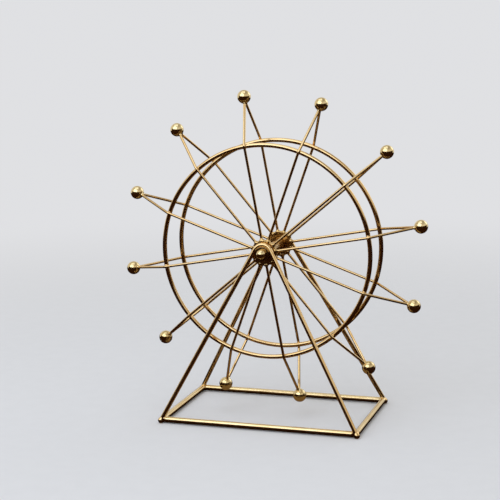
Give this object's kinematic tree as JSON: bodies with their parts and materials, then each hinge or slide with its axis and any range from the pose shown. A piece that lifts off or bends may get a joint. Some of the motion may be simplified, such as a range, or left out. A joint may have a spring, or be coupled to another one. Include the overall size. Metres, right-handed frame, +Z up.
{
  "type": "wire ferris wheel ornament",
  "caption": "Gold wire Ferris wheel ornament: a double ring wheel with bent spokes and rim balls turns on an axle between two bent wire legs on a rectangular rod base.",
  "frame": {"origin": "on the floor under the middle of the axle, at the centre of the footprint", "axes": "+Z up; +Y along the axle from the front leg to the rear leg; +X to the right seen from the front"},
  "size_m": [0.2142, 0.0868, 0.2236],
  "materials": {
    "stand_wire": "polished gold plate",
    "wheel_wire": "polished gold plate",
    "rim_ball": "bright polished gold plate",
    "hub": "polished gold plate"
  },
  "bodies": {
    "stand": {"base_frame": "stand_wire", "front_leg": "stand_wire", "rear_leg": "stand_wire", "front_bush": "hub", "rear_bush": "hub", "axle": "hub", "front_ball_nut": "rim_ball", "rear_ball_nut": "rim_ball"},
    "wheel": {"hub_barrel": "hub", "front_hub_flange": "hub", "rear_hub_flange": "hub", "front_ring": "wheel_wire", "rear_ring": "wheel_wire", "front_spoke_01": "wheel_wire", "rear_spoke_01": "wheel_wire", "rim_ball_01": "rim_ball", "front_spoke_02": "wheel_wire", "rear_spoke_02": "wheel_wire", "rim_ball_02": "rim_ball", "front_spoke_03": "wheel_wire", "rear_spoke_03": "wheel_wire", "rim_ball_03": "rim_ball", "front_spoke_04": "wheel_wire", "rear_spoke_04": "wheel_wire", "rim_ball_04": "rim_ball", "front_spoke_05": "wheel_wire", "rear_spoke_05": "wheel_wire", "rim_ball_05": "rim_ball", "front_spoke_06": "wheel_wire", "rear_spoke_06": "wheel_wire", "rim_ball_06": "rim_ball", "front_spoke_07": "wheel_wire", "rear_spoke_07": "wheel_wire", "rim_ball_07": "rim_ball", "front_spoke_08": "wheel_wire", "rear_spoke_08": "wheel_wire", "rim_ball_08": "rim_ball", "front_spoke_09": "wheel_wire", "rear_spoke_09": "wheel_wire", "rim_ball_09": "rim_ball", "front_spoke_10": "wheel_wire", "rear_spoke_10": "wheel_wire", "rim_ball_10": "rim_ball", "front_spoke_11": "wheel_wire", "rear_spoke_11": "wheel_wire", "rim_ball_11": "rim_ball", "front_spoke_12": "wheel_wire", "rear_spoke_12": "wheel_wire", "rim_ball_12": "rim_ball"}
  },
  "joints": [
    {"name": "wheel_spin", "type": "hinge", "parent": "stand", "child": "wheel", "pos_m": [0, 0, 0.1165], "axis": [0, 1, 0], "continuous": true}
  ]
}
